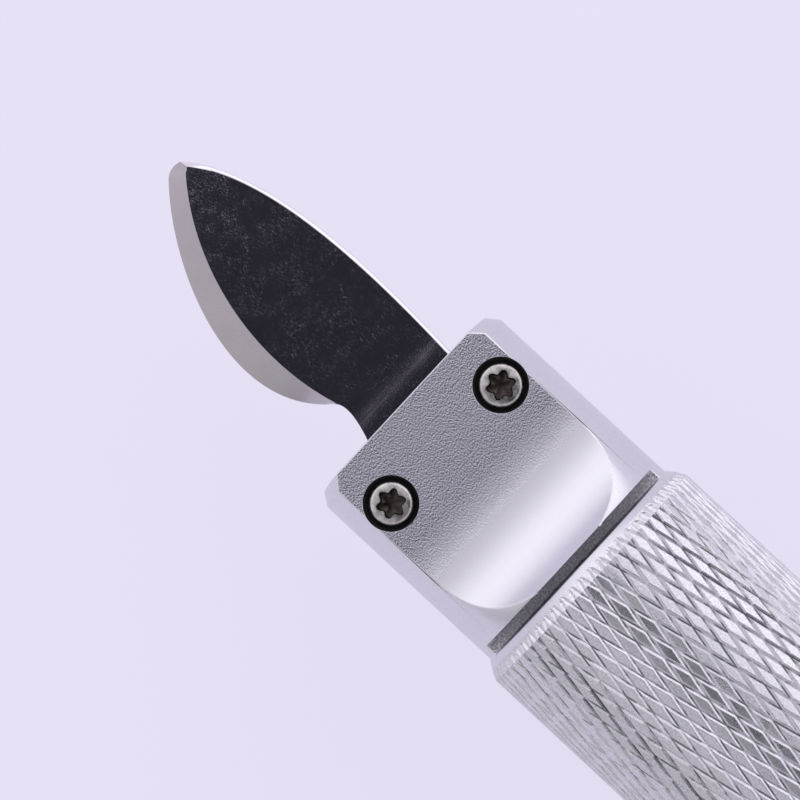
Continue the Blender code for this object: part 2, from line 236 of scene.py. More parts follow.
def turned(points, steps, axis="X"):
    """Turn a profile of (place along the axis, radius) points into a closed solid."""
    bm = bmesh.new()
    along_x = axis == "X"
    verts = [bm.verts.new((a, 0, r) if along_x else (r, 0, a)) for a, r in points]
    edges = [bm.edges.new(pair) for pair in zip(verts, verts[1:])]
    bmesh.ops.spin(bm, geom=verts + edges, cent=(0, 0, 0), dvec=(0, 0, 0), steps=steps,
                   axis=(1, 0, 0) if along_x else (0, 0, 1), angle=2 * math.pi,
                   use_merge=True, use_duplicate=False)
    bmesh.ops.remove_doubles(bm, verts=bm.verts, dist=MERGE)
    bmesh.ops.recalc_face_normals(bm, faces=bm.faces)
    return bm


def helix_ridge(bm, root, crest, pitch, start, turns, steps, axis):
    """Add a thread ridge that runs from start along the axis, with closed ends."""
    half = pitch * 0.44
    along_x = axis == "X"
    corners = ((start - half, root), (start, crest), (start + half, root))
    verts = [bm.verts.new((a, 0, r) if along_x else (r, 0, a)) for a, r in corners]
    face = bm.faces.new(verts)
    advance = pitch / steps
    bmesh.ops.spin(bm, geom=[face], cent=(0, 0, 0), steps=steps * turns,
                   dvec=(advance, 0, 0) if along_x else (0, 0, advance),
                   axis=(1, 0, 0) if along_x else (0, 0, 1), angle=2 * math.pi * turns,
                   use_merge=False, use_duplicate=False)


def box(low, high):
    """Return a box between two corners."""
    bm = bmesh.new()
    bmesh.ops.create_cube(bm, size=1.0)
    size = [b - a for a, b in zip(low, high)]
    middle = [(a + b) / 2 for a, b in zip(low, high)]
    bmesh.ops.scale(bm, vec=size, verts=bm.verts)
    bmesh.ops.translate(bm, vec=middle, verts=bm.verts)
    return bm


def side_form(outline, sign):
    """Extrude an outline of (behind, height) right across the head."""
    wide = HEAD_R + CLEAR
    bm = bmesh.new()
    verts = [bm.verts.new((-behind, -wide, sign * height)) for behind, height in outline]
    face = bm.faces.new(verts)
    grown = bmesh.ops.extrude_face_region(bm, geom=[face])["geom"]
    moved = [item for item in grown if isinstance(item, bmesh.types.BMVert)]
    bmesh.ops.translate(bm, vec=(0, 2 * wide, 0), verts=moved)
    bmesh.ops.recalc_face_normals(bm, faces=bm.faces)
    return bm


def ramp_side(start, height, slope, radius, end, steps=30):
    """Return (behind, height) points along an arc that leaves a slope and steepens."""
    last = math.asin(min(1.0, math.sin(slope) + (end - start) / radius))
    points = []
    for i in range(steps + 1):
        angle = slope + (last - slope) * i / steps
        behind = start + radius * (math.sin(angle) - math.sin(slope))
        points.append((behind, height + radius * (math.cos(slope) - math.cos(angle))))
    return points


def in_order(bm):
    """Copy a mesh with its parts sorted by place, as a boolean leaves them in any order."""
    spots = {vert: tuple(round(part, 5) for part in vert.co) for vert in bm.verts}
    outlines = []
    for face in bm.faces:
        verts = list(face.verts)
        start = min(range(len(verts)), key=lambda number: spots[verts[number]])
        outlines.append(verts[start:] + verts[:start])
    copy = bmesh.new()
    made = {vert: copy.verts.new(vert.co) for vert in sorted(bm.verts, key=spots.get)}
    for outline in sorted(outlines, key=lambda verts: [spots[vert] for vert in verts]):
        copy.faces.new([made[vert] for vert in outline])
    bm.free()
    return copy


def carved(bm, cutters):
    """Cut the cutters out of a solid one after another, and return the result."""
    def loose(part):
        mesh = bpy.data.meshes.new("carving")
        part.to_mesh(mesh)
        part.free()
        obj = bpy.data.objects.new("carving", mesh)
        bpy.context.scene.collection.objects.link(obj)
        return obj

    for cutter in cutters:
        target, tool = loose(bm), loose(cutter)
        modifier = target.modifiers.new("cut", "BOOLEAN")
        modifier.operation = "DIFFERENCE"
        modifier.solver = "EXACT"
        modifier.object = tool
        bm = bmesh.new()
        bm.from_object(target, bpy.context.evaluated_depsgraph_get())
        bm = in_order(bm)
        for obj in (target, tool):
            mesh = obj.data
            bpy.data.objects.remove(obj)
            bpy.data.meshes.remove(mesh)
    return bm


def grow_ring(bm, edges, shape):
    """Extrude a ring of edges and place the new vertices with shape(angle)."""
    grown = bmesh.ops.extrude_edge_only(bm, edges=edges)["geom"]
    for vert in (item for item in grown if isinstance(item, bmesh.types.BMVert)):
        vert.co = shape(math.atan2(vert.co.y, vert.co.x))
    return [item for item in grown if isinstance(item, bmesh.types.BMEdge)
            and item.is_boundary]


# ---------------------------------------------------------------- finishes

def add(tree, kind, inputs=None, **settings):
    """Add a node with its settings and its fixed input values."""
    made = tree.nodes.new("ShaderNode" + kind)
    for key, value in settings.items():
        setattr(made, key, value)
    for key, value in (inputs or {}).items():
        made.inputs[key].default_value = value
    return made


def new_finish(name, colour, metallic, roughness):
    """Return a material, its tree, its shader and its object coordinates."""
    material = bpy.data.materials.new(name)
    material.use_nodes = True
    tree = material.node_tree
    shader = tree.nodes["Principled BSDF"]
    shader.inputs["Base Color"].default_value = (*colour, 1.0)
    shader.inputs["Metallic"].default_value = metallic
    shader.inputs["Roughness"].default_value = roughness
    return material, tree, shader, add(tree, "TexCoord").outputs["Object"]


def stretched(tree, coords, scale, place=(0, 0, 0), turn=(0, 0, 0)):
    """Return object coordinates moved, turned and stretched."""
    mapping = add(tree, "Mapping", {"Location": place, "Rotation": turn, "Scale": scale})
    tree.links.new(coords, mapping.inputs["Vector"])
    return mapping.outputs["Vector"]


def behind_front(tree, coords, from_mm, to_mm, to_low, to_high):
    """Map a stretch of the knife, given in millimetres behind the front face, to a range."""
    place = add(tree, "SeparateXYZ")
    tree.links.new(coords, place.inputs["Vector"])
    return remap(tree, place.outputs["X"], FRONT_X - from_mm * MM, FRONT_X - to_mm * MM,
                 to_low, to_high)


def noise(tree, vector, scale, detail=3.0, rough=0.5):
    """Return a noise pattern's value."""
    made = add(tree, "TexNoise", {"Scale": scale, "Detail": detail, "Roughness": rough})
    tree.links.new(vector, made.inputs["Vector"])
    return made.outputs["Fac"]


def remap(tree, value, low, high, to_low, to_high):
    """Map a value from one range to another, held at the ends."""
    made = add(tree, "MapRange", {"From Min": low, "From Max": high,
                                  "To Min": to_low, "To Max": to_high})
    tree.links.new(value, made.inputs["Value"])
    return made.outputs["Result"]


def blend(tree, share, first, second):
    """Mix two colours by a share; each is a colour or an output."""
    made = add(tree, "Mix", data_type="RGBA")
    tree.links.new(share, made.inputs["Factor"])
    sockets = [s for s in made.inputs if s.type == "RGBA"]
    for socket, value in zip(sockets, (first, second)):
        if isinstance(value, bpy.types.NodeSocket):
            tree.links.new(value, socket)
        else:
            socket.default_value = (*value, 1.0)
    return next(s for s in made.outputs if s.type == "RGBA")


def maths(tree, operation, first, second):
    """Return one maths operation on two values, each a number or an output."""
    made = add(tree, "Math", operation=operation)
    for socket, value in zip(made.inputs, (first, second)):
        if isinstance(value, bpy.types.NodeSocket):
            tree.links.new(value, socket)
        else:
            socket.default_value = value
    return made.outputs["Value"]


def relief(tree, shader, height, depth, strength=1.0, before=None):
    """Bump a surface by a height pattern of the given depth in metres."""
    bump = add(tree, "Bump", {"Strength": strength, "Distance": depth})
    tree.links.new(height, bump.inputs["Height"])
    if before is not None:
        tree.links.new(before, bump.inputs["Normal"])
    tree.links.new(bump.outputs["Normal"], shader.inputs["Normal"])
    return bump.outputs["Normal"]


def axis_distance(tree, coords):
    """Return the distance from the knife's axis, in metres."""
    moved = stretched(tree, coords, (0, 1, 1), place=(0, 0, -AXIS_Z))
    length = add(tree, "VectorMath", operation="LENGTH")
    tree.links.new(moved, length.inputs[0])
    return length.outputs["Value"]


def tint(colour, factor):
    """Return a colour made darker or lighter."""
    return tuple(min(1.0, channel * factor) for channel in colour)


def shades(tree, value, low, high, colour, dark, light):
    """Run a colour from its dark to its light tint as a value goes from low to high."""
    return blend(tree, remap(tree, value, low, high, 0, 1), tint(colour, dark),
                 tint(colour, light))


def turned_aluminium(name, colour):
    """Satin anodised aluminium with faint turning lines round the axis."""
    material, tree, shader, coords = new_finish(name, colour, 1.0, 0.3)
    rings = noise(tree, stretched(tree, coords, (14000, 260, 260)), 1.0, 2.0)
    grain = noise(tree, coords, 16000, 3.0)
    patches = noise(tree, coords, 420, 3.0)
    tree.links.new(remap(tree, patches, 0.3, 0.7, 0.28, 0.36), shader.inputs["Roughness"])
    tree.links.new(shades(tree, grain, 0.35, 0.65, colour, 0.9, 1.05),
                   shader.inputs["Base Color"])
    first = relief(tree, shader, rings, 0.000004, 0.5)
    relief(tree, shader, grain, 0.000006, 0.5, first)
    return material


def blasted_aluminium(name, colour):
    """Bead-blasted aluminium: leathery grain with painted light and shade from one side, fading up
    a bright ramp.
    """
    material, tree, shader, coords = new_finish(name, colour, 1.0, 0.5)
    fade_start, fade_end = (RAMP_START + part for part in BLAST_FADE)
    on_flat = behind_front(tree, coords, fade_start, fade_end, 0, 1)
    coarse = noise(tree, coords, BLAST_SCALE, 2.0, 0.6)
    # The grain minus a shifted copy of itself gives painted light and shade, as if the grain were
    # lit from one side
    moved = stretched(tree, coords, (1, 1, 1), place=PAINTED_LIGHT_SHIFT)
    shifted = noise(tree, moved, BLAST_SCALE, 2.0, 0.6)
    painted_grain_light = maths(tree, "SUBTRACT", coarse, shifted)
    fine = noise(tree, coords, 11000, 3.0)
    pits = remap(tree, coarse, 0.39, 0.58, 0, 1)
    back, back_top, front_top, front = (RAMP_START + part for part in BRIGHT_BAND)
    ahead_of = behind_front(tree, coords, front_top, front, 0.56, 0.34)
    up_ramp = behind_front(tree, coords, back, back_top, 0.36, 0.56)
    tree.links.new(maths(tree, "MINIMUM", ahead_of, up_ramp), shader.inputs["Roughness"])
    lilac = (colour[0] * 0.98, colour[1] * 0.97, colour[2] * 1.06)
    # Painted light and shade: the lilac runs from dark to light with the shifted grain
    painted_grain_shading = shades(tree, painted_grain_light, -0.13, 0.13, lilac, 0.34, 1.14)
    plain = blend(tree, fine, tint(colour, 0.98), tint(colour, 1.06))
    tree.links.new(blend(tree, on_flat, plain, painted_grain_shading), shader.inputs["Base Color"])
    depth = maths(tree, "MULTIPLY", pits, on_flat)
    first = relief(tree, shader, depth, 0.00012, 1.0)
    relief(tree, shader, fine, 0.000010, 0.5, first)
    return material


def sawn_aluminium(name, colour):
    """Sawn or bored aluminium, with a coarse broken grain."""
    material, tree, shader, coords = new_finish(name, colour, 1.0, 0.4)
    grain = noise(tree, coords, 7000, 3.0, 0.6)
    tree.links.new(shades(tree, grain, 0.35, 0.65, colour, 0.5, 1.05),
                   shader.inputs["Base Color"])
    tree.links.new(remap(tree, grain, 0.3, 0.7, 0.3, 0.5), shader.inputs["Roughness"])
    relief(tree, shader, grain, 0.00003, 0.8)
    return material


def knurled_aluminium(name, colour, root):
    """Knurled grip: grainy pads over groove bottoms with painted shade in broken dark dashes."""
    material, tree, shader, coords = new_finish(name, colour, 1.0, 0.34)
    # The colour darkens towards the groove bottoms as painted shade, lifted on the collar and the
    # tail chamfer
    floor_top = (root + (GRIP_R - root) * 0.5) * MM
    height = remap(tree, axis_distance(tree, coords), root * MM, floor_top, 0, 1)
    tail = GRIP_END - TAIL_CHAMFER
    on_collar = behind_front(tree, coords, COLLAR_END + KNURL_SHADE_FADE, COLLAR_END, 0, 1)
    on_tail = behind_front(tree, coords, tail, tail - KNURL_SHADE_FADE, 1, 0)
    height = maths(tree, "MAXIMUM", maths(tree, "MAXIMUM", height, on_collar), on_tail)
    grain = noise(tree, coords, 9000, 3.0, 0.6)
    patches = noise(tree, coords, 700, 2.0)
    pads = shades(tree, grain, 0.35, 0.65, colour, 0.8, 1.05)
    # Painted shade in the groove bottoms, broken into dashes by a stretched noise
    groove_shade_breaks = noise(tree, stretched(tree, coords, (900, 2600, 2600)), 1.0, 2.0)
    grooves = shades(tree, groove_shade_breaks, 0.43, 0.54, colour, 0.15, 0.95)
    tree.links.new(blend(tree, height, grooves, pads), shader.inputs["Base Color"])
    tree.links.new(remap(tree, patches, 0.3, 0.7, 0.24, 0.32), shader.inputs["Roughness"])
    relief(tree, shader, grain, 0.000014, 0.6)
    return material


def polished_steel(name, colour):
    """Polished blade face: specks, handling scratches and a rubbed band by the head."""
    material, tree, shader, coords = new_finish(name, colour, 1.0, 0.14)
    marks = remap(tree, noise(tree, coords, 9000, 3.0, 0.7), 0.52, 0.7, 0, 0.17)
    for degrees, fine in SCRATCHES:
        turn = (0, 0, math.radians(degrees))
        hairs = noise(tree, stretched(tree, coords, (3800, fine, 1), turn=turn), 1.0, 2.0)
        marks = maths(tree, "MAXIMUM", marks, remap(tree, hairs, 0.61, 0.74, 0, 0.42))
    patches = noise(tree, coords, 900, 2.0)
    marks = maths(tree, "MULTIPLY", marks, remap(tree, patches, 0.35, 0.6, 0.3, 1))
    near, middle, far = RUBBED_BAND
    rubbed = maths(tree, "MULTIPLY", behind_front(tree, coords, -near, -middle, 0, 1),
                   behind_front(tree, coords, -middle, -far, 1, 0))
    streaks = noise(tree, stretched(tree, coords, (5000, 500, 1)), 1.0, 3.0)
    rubbed = maths(tree, "MULTIPLY", rubbed, remap(tree, streaks, 0.3, 0.75, 0.16, 0.4))
    marks = maths(tree, "MAXIMUM", marks, rubbed)
    clouds = noise(tree, coords, 500, 4.0)
    base = remap(tree, clouds, 0.3, 0.7, 0.05, 0.08)
    tree.links.new(maths(tree, "ADD", base, maths(tree, "MULTIPLY", marks, 0.4)),
                   shader.inputs["Roughness"])
    tree.links.new(blend(tree, marks, colour, tint(colour, 1.5)), shader.inputs["Base Color"])
    relief(tree, shader, marks, 0.000003, 0.5)
    return material


def ground_steel(name, colour):
    """Ground bevel or spine: satin steel with slanting grinding lines."""
    material, tree, shader, coords = new_finish(name, colour, 1.0, 0.3)
    turn = (0, 0, math.radians(-38))
    lines = noise(tree, stretched(tree, coords, (1500, 26000, 1), turn=turn), 1.0, 2.0)
    clouds = noise(tree, coords, 600, 3.0)
    tree.links.new(remap(tree, lines, 0.3, 0.7, 0.24, 0.4), shader.inputs["Roughness"])
    tree.links.new(blend(tree, clouds, tint(colour, 0.92), tint(colour, 1.06)),
                   shader.inputs["Base Color"])
    relief(tree, shader, lines, 0.000005, 0.5)
    return material


def turned_steel(name, colour):
    """Screw steel with a light tarnish in patches."""
    material, tree, shader, coords = new_finish(name, colour, 1.0, 0.26)
    tarnish = noise(tree, coords, 2600, 4.0, 0.6)
    grain = noise(tree, coords, 16000, 2.0)
    tree.links.new(shades(tree, tarnish, 0.4, 0.65, colour, 0.7, 1.1),
                   shader.inputs["Base Color"])
    tree.links.new(remap(tree, tarnish, 0.3, 0.7, 0.2, 0.38), shader.inputs["Roughness"])
    relief(tree, shader, grain, 0.000006, 0.5)
    return material


def dull_black(name, colour, metallic, roughness, grain_size):
    """Black oxide, rubber or moulded plastic, told apart by gloss and grain."""
    material, tree, shader, coords = new_finish(name, colour, metallic, roughness)
    grain = noise(tree, coords, 1 / grain_size, 3.0)
    tree.links.new(remap(tree, grain, 0.3, 0.7, roughness - 0.08, roughness + 0.08),
                   shader.inputs["Roughness"])
    tree.links.new(blend(tree, grain, tint(colour, 0.7), tint(colour, 1.4)),
                   shader.inputs["Base Color"])
    relief(tree, shader, grain, grain_size * 0.1, 0.5)
    return material


def finish_node(name, material):
    """Give a CAD node its finish."""
    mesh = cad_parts[name].data
    mesh.materials.clear()
    mesh.materials.append(material)


def finish(name, make):
    """Return the finish called name, made on its first use."""
    return bpy.data.materials.get(name) or make(name)


# ---------------------------------------------------------------- settings

class KnifeSizes(bpy.types.PropertyGroup):
    """Sizes a maker would change without changing the frame."""

    edge_break: FloatProperty(
        name="Edge break", description="Width of the broken edges of the milled head",
        default=0.075 * MM, min=0.0, subtype="DISTANCE", unit="LENGTH")
    knurl_starts: IntProperty(
        name="Knurl starts", description="Grooves round the grip, of each hand",
        default=64, min=12, max=120)
    knurl_angle: FloatProperty(
        name="Knurl angle", description="Angle of the knurl grooves to the knife's axis",
        default=math.radians(13), subtype="ANGLE", unit="ROTATION")
    knurl_depth: FloatProperty(
        name="Knurl depth", description="Depth of the knurl grooves",
        default=0.105 * MM, min=0.0, subtype="DISTANCE", unit="LENGTH")
    knurl_groove: FloatProperty(
        name="Knurl groove", description="Width of a knurl groove at the top",
        default=0.31 * MM, min=0.0, subtype="DISTANCE", unit="LENGTH")
    spine_round: FloatProperty(
        name="Spine rounding", description="How far the round of the blade's spine reaches down",
        default=0.24 * MM, min=0.0, subtype="DISTANCE", unit="LENGTH")


class KnifeColours(bpy.types.PropertyGroup):
    """Colours of the knife's finishes and of the stage."""

    aluminium: FloatVectorProperty(
        name="Aluminium", description="Anodised aluminium of head, grip and tail cap",
        default=(0.80, 0.785, 0.85), size=3, min=0.0, max=1.0, subtype="COLOR")
    blade: FloatVectorProperty(
        name="Blade", description="Polished steel of the blade's faces",
        default=(0.60, 0.56, 0.66), size=3, min=0.0, max=1.0, subtype="COLOR")
    bevel: FloatVectorProperty(
        name="Bevel", description="Ground steel of the blade's bevel",
        default=(0.56, 0.52, 0.55), size=3, min=0.0, max=1.0, subtype="COLOR")
    # The spine's near-white steel adds a painted highlight to the light its rounding reflects
    spine: FloatVectorProperty(
        name="Spine", description="Bright steel of the blade's rounded spine",
        default=(0.93, 0.91, 0.96), size=3, min=0.0, max=1.0, subtype="COLOR")
    screws: FloatVectorProperty(
        name="Screws", description="Steel of the clamping screws",
        default=(0.72, 0.69, 0.68), size=3, min=0.0, max=1.0, subtype="COLOR")
    floor: FloatVectorProperty(
        name="Floor", description="Pale surface under the knife",
        default=(0.78, 0.735, 0.888), size=3, min=0.0, max=1.0, subtype="COLOR")


# ---------------------------------------------------------------- pieces

class KNIFE_OT_head(bpy.types.Operator):
    """Model the head, collar and bored core of the handle"""

    bl_idname = "knife.head"
    bl_label = "Head and core"

    def execute(self, context):
        """Turn the bar, then mill, saw and drill it and break its edges."""
        sizes = context.scene.knife_sizes
        colours = context.scene.knife_colours
        thread_start = GRIP_END - THREAD_LEN
        profile = [
            (0, 0), (0, NOSE_R), (-NOSE_CHAMFER, HEAD_R), (-HEAD_LEN, HEAD_R),
            (-COLLAR_START, COLLAR_R), (-KNURL_START, KNURL_START_R), (-KNURL_START, CORE_R),
            (-KNURL_END, CORE_R), (-KNURL_END, GRIP_END - KNURL_END + GRIP_R - TAIL_CHAMFER),
            (-GRIP_END, GRIP_R - TAIL_CHAMFER),
            (-GRIP_END, THREAD_BORE_R), (-thread_start, THREAD_BORE_R),
            (-thread_start, BORE_R), (-BORE_START, BORE_R), (-BORE_START, 0),
        ]
        bar = turned(profile, 180)

        outside = HEAD_R + CLEAR
        top = [(-CLEAR, FLAT_Z)] + ramp_side(RAMP_START, FLAT_Z, 0, RAMP_R, CUT_END)
        top += [(CUT_END, outside), (-CLEAR, outside)]
        slope = math.tan(BACK_SLOPE)
        ramp_height = BACK_FRONT_Z + slope * BACK_RAMP_START
        rear = [(-CLEAR, BACK_FRONT_Z - CLEAR * slope)]
        rear += ramp_side(BACK_RAMP_START, ramp_height, BACK_SLOPE, BACK_RAMP_R, CUT_END)
        rear += [(CUT_END, outside), (-CLEAR, outside)]
        cutters = [
            side_form(top, 1), side_form(rear, -1),
            box((-HEAD_LEN, -outside, GROOVE_FLOOR), (-GROOVE_START, outside, outside)),
            box((-HEAD_LEN, -outside, -outside), (-GROOVE_START, outside, -GROOVE_FLOOR)),
            box((-HEAD_LEN, -outside, -SLIT_HALF), (CLEAR, outside, SLIT_HALF)),
        ]
        rim = sizes.edge_break / MM * RIM_SHARE
        hole = [
            (FLAT_Z + CLEAR, 0), (FLAT_Z + CLEAR, CBORE_R + CLEAR / 2 + rim),
            (FLAT_Z + CLEAR / 2, CBORE_R + CLEAR / 2 + rim), (FLAT_Z - rim, CBORE_R),
            (CBORE_FLOOR, CBORE_R), (CBORE_FLOOR, SCREW_HOLE_R),
            (SCREW_HOLE_END, SCREW_HOLE_R), (SCREW_HOLE_END, 0),
        ]
        for side in (SCREW_Y, -SCREW_Y):
            cutter = turned(hole, 64, "Z")
            bmesh.ops.translate(cutter, vec=(-SCREW_BEHIND, side, 0), verts=cutter.verts)
            cutters.append(cutter)
        bm = carved(bar, cutters)
        bmesh.ops.remove_doubles(bm, verts=bm.verts, dist=CARVE_MERGE)
        bmesh.ops.dissolve_degenerate(bm, dist=MERGE / 2, edges=bm.edges)
        bmesh.ops.dissolve_limit(bm, angle_limit=COPLANAR, verts=bm.verts, edges=bm.edges)
        self.break_edges(bm, sizes.edge_break / MM)
        bmesh.ops.recalc_face_normals(bm, faces=bm.faces)
        self.mark_finishes(bm)

        metal = colours.aluminium
        smooth = finish("turned_head_aluminium", lambda n: turned_aluminium(n, metal))
        blasted = finish("blasted_flat_aluminium", lambda n: blasted_aluminium(n, metal))
        sawn = finish("sawn_groove_aluminium", lambda n: sawn_aluminium(n, metal))
        # The counterbore walls take the sawn finish at a fifth of the colour: painted shade in the
        # gap round the screw heads
        bored = finish("counterbore_aluminium", lambda n: sawn_aluminium(n, tint(metal, 0.2)))
        obj = put_in_place(bm, "clamp_head_and_core", [smooth, blasted, sawn, bored], "handle",
                           ["handle_body"])
        shade_crisp(obj, 40)
        even_normals(obj)
        return {"FINISHED"}

    @staticmethod
    def break_edges(bm, width):
        """Bevel the head's milled edges, but not the round holes' rims."""
        chosen = []
        for edge in bm.edges:
            if len(edge.link_faces) != 2 or edge.calc_face_angle(0) < SHARP_TURN:
                continue
            middle = (edge.verts[0].co + edge.verts[1].co) / 2
            from_screw = math.hypot(middle.x + SCREW_BEHIND, abs(middle.y) - SCREW_Y)
            if middle.x > -HEAD_LEN - 0.1 and from_screw > CBORE_R + 0.2:
                chosen.append(edge)
        bmesh.ops.bevel(bm, geom=chosen, offset=width, offset_type="OFFSET", segments=2,
                        profile=0.5, affect="EDGES", material=-1, clamp_overlap=False)

    @staticmethod
    def mark_finishes(bm):
        """Give the blasted flat and ramp, the groove and the counterbores their finishes, the
        counterbore walls painted shade.
        """
        bm.normal_update()
        for face in bm.faces:
            middle = face.calc_center_median()
            up = face.normal.z > 0.3 and abs(face.normal.y) < 0.05
            if up and middle.z > FLAT_Z - 0.02 and -CUT_END < middle.x < -0.1:
                face.material_index = 1
            in_groove = -HEAD_LEN - 0.01 < middle.x < 0.01 - GROOVE_START
            if in_groove and middle.yz.length < HEAD_R - 0.06 and abs(middle.z) > SLIT_HALF + 0.1:
                face.material_index = 2
            off_screw = math.hypot(middle.x + SCREW_BEHIND, abs(middle.y) - SCREW_Y)
            # Counterbore walls: darkened aluminium as painted shade
            if off_screw < CBORE_R + 0.02 and CBORE_FLOOR - 0.05 < middle.z < FLAT_Z - 0.04:
                face.material_index = 3


class KNIFE_OT_sleeve(bpy.types.Operator):
    """Model the diamond-knurled skin of the grip"""

    bl_idname = "knife.sleeve"
    bl_label = "Knurled sleeve"

    def execute(self, context):
        """Lay out one start of diamonds flat, trim and bend it, and repeat it round."""
        sizes = context.scene.knife_sizes
        colours = context.scene.knife_colours
        depth = sizes.knurl_depth / MM
        root = GRIP_R - depth
        width = 2 * math.pi * root / sizes.knurl_starts
        length = width / math.tan(sizes.knurl_angle)
        rows = math.ceil((GRIP_END - COLLAR_START) / length) + 1

        bm = bmesh.new()
        bmesh.ops.create_circle(bm, cap_ends=True, segments=4, radius=1.0)
        bmesh.ops.scale(bm, vec=(length / 2, width / 2, 1), verts=bm.verts)
        bmesh.ops.translate(bm, vec=(-COLLAR_START, 0, 0), verts=bm.verts)
        first = list(bm.verts) + list(bm.edges) + list(bm.faces)
        for number in range(1, 2 * rows):
            copy = bmesh.ops.duplicate(bm, geom=first)["geom"]
            moved = [item for item in copy if isinstance(item, bmesh.types.BMVert)]
            side = width / 2 if number % 2 else 0
            bmesh.ops.translate(bm, vec=(-number * length / 2, side, 0), verts=moved)
        bmesh.ops.remove_doubles(bm, verts=bm.verts, dist=MERGE)
        bmesh.ops.recalc_face_normals(bm, faces=bm.faces)
        if bm.faces[:][0].normal.z < 0:
            bmesh.ops.reverse_faces(bm, faces=bm.faces)
        pads = list(bm.faces)
        groove = sizes.knurl_groove / MM / 2
        bmesh.ops.inset_individual(bm, faces=pads, thickness=groove * PAD_FLANK_SHARE,
                                   depth=depth * PAD_DEPTH_SHARE, use_even_offset=True)
        bmesh.ops.inset_individual(bm, faces=pads, thickness=groove * (1 - PAD_FLANK_SHARE),
                                   depth=depth * (1 - PAD_DEPTH_SHARE), use_even_offset=True)

        self.taper(bm, depth)
        for vert in bm.verts:
            angle = vert.co.y / root
            radius = root + vert.co.z
            vert.co = (vert.co.x, radius * math.sin(angle), radius * math.cos(angle))
        turns = sizes.knurl_starts
        bmesh.ops.spin(bm, geom=bm.verts[:] + bm.edges[:] + bm.faces[:], cent=(0, 0, 0),
                       axis=(1, 0, 0), dvec=(0, 0, 0), steps=turns - 1,
                       angle=2 * math.pi * (turns - 1) / turns, use_duplicate=True)
        bmesh.ops.remove_doubles(bm, verts=bm.verts, dist=MERGE)
        self.close_inside(bm)
        bmesh.ops.recalc_face_normals(bm, faces=bm.faces)

        material = finish("knurled_aluminium",
                          lambda n: knurled_aluminium(n, colours.aluminium, root))
        put_in_place(bm, "knurled_sleeve", material, "handle")
        return {"FINISHED"}

    @staticmethod
    def taper(bm, depth):
        """Run the knurl down the collar and the tail chamfer, with its grooves fading out."""
        tail_start = GRIP_END - TAIL_CHAMFER
        stations = (KNURL_START, KNURL_START + KNURL_FADE_MIDDLE, KNURL_START + KNURL_FADE_IN,
                    COLLAR_END, tail_start, tail_start + KNURL_FADE_OUT, KNURL_END)
        for station in stations:
            bmesh.ops.bisect_plane(bm, geom=bm.verts[:] + bm.edges[:] + bm.faces[:], dist=0.0001,
                                   plane_co=(-station, 0, 0), plane_no=(1, 0, 0),
                                   clear_outer=station == KNURL_START,
                                   clear_inner=station == KNURL_END)
        slope = (GRIP_R - KNURL_START_R) / (COLLAR_END - KNURL_START)
        for vert in bm.verts:
            behind = -vert.co.x
            fade_in = min(1.0, max(0.0, (behind - KNURL_START) / KNURL_FADE_IN))
            fade_out = min(1.0, max(0.0, (KNURL_END - behind) / KNURL_FADE_OUT))
            drop = slope * max(0.0, COLLAR_END - behind) + max(0.0, behind - tail_start)
            vert.co.z = depth - (depth - vert.co.z) * min(fade_in, fade_out) - drop

    @staticmethod
    def close_inside(bm):
        """Close the sleeve with two end rings and an inner wall against the core."""
        rims = [edge for edge in bm.edges if edge.is_boundary]
        grown = bmesh.ops.extrude_edge_only(bm, edges=rims)["geom"]
        for vert in (item for item in grown if isinstance(item, bmesh.types.BMVert)):
            factor = CORE_R / math.hypot(vert.co.y, vert.co.z)
            vert.co.y *= factor
            vert.co.z *= factor
        inner = [item for item in grown if isinstance(item, bmesh.types.BMEdge)
                 and item.is_boundary]
        bmesh.ops.bridge_loops(bm, edges=inner)


